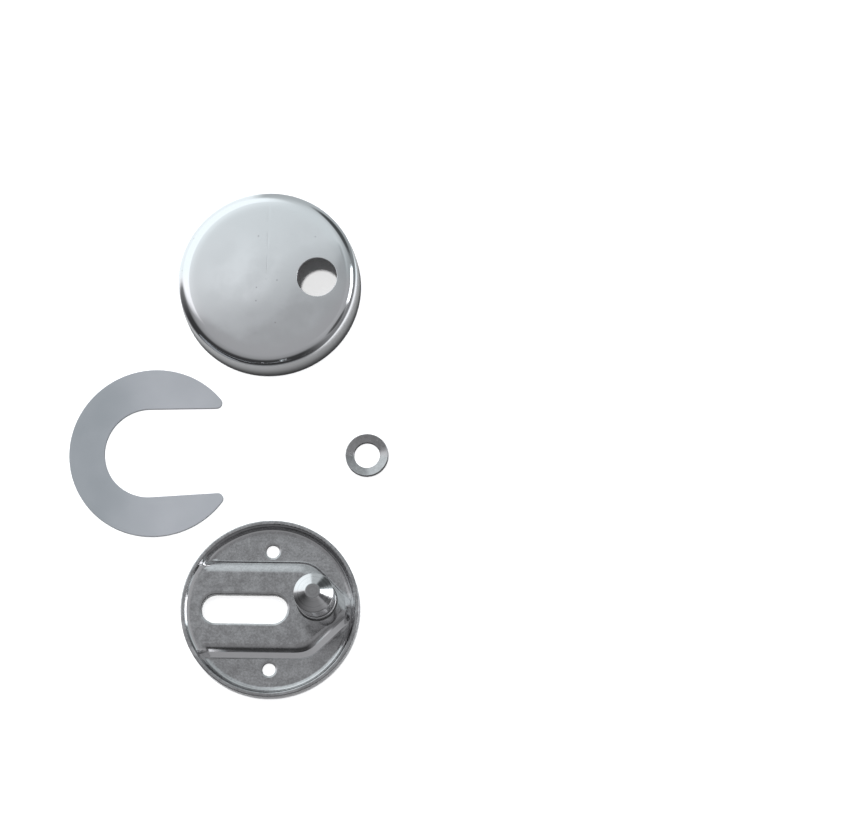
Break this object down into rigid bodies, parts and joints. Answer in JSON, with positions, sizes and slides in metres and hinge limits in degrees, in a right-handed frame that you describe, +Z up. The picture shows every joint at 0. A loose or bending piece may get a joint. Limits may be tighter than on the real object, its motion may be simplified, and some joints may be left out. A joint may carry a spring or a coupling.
{
  "type": "toilet seat hinge",
  "caption": "Fixed half of a toilet seat hinge, laid out loose: pressed base plate with an upright riveted pin, drawn cover cap, open plastic spacer and conical spring washer.",
  "frame": {"origin": "on the surface that the pieces lie on, in the middle of the whole layout", "axes": "+Z up from the surface; +Y from the base plate towards the cover cap; +X from the plate's slot towards its pin"},
  "size_m": [0.1024, 0.1629, 0.0328],
  "materials": {
    "pressed_steel": "stainless steel sheet, bright rolled, pressed",
    "turned_steel": "stainless steel bar, turned and polished",
    "ring_rubber": "matt black",
    "polished_steel": "stainless steel sheet, polished",
    "spacer_plastic": "grey, slightly silky",
    "spring_steel": "zinc plated"
  },
  "bodies": {
    "root": {"base_plate": "pressed_steel", "hinge_pin": "turned_steel", "pin_o_ring": "ring_rubber", "cover_cap": "polished_steel", "spacer": "spacer_plastic", "lock_washer": "spring_steel"}
  },
  "joints": []
}
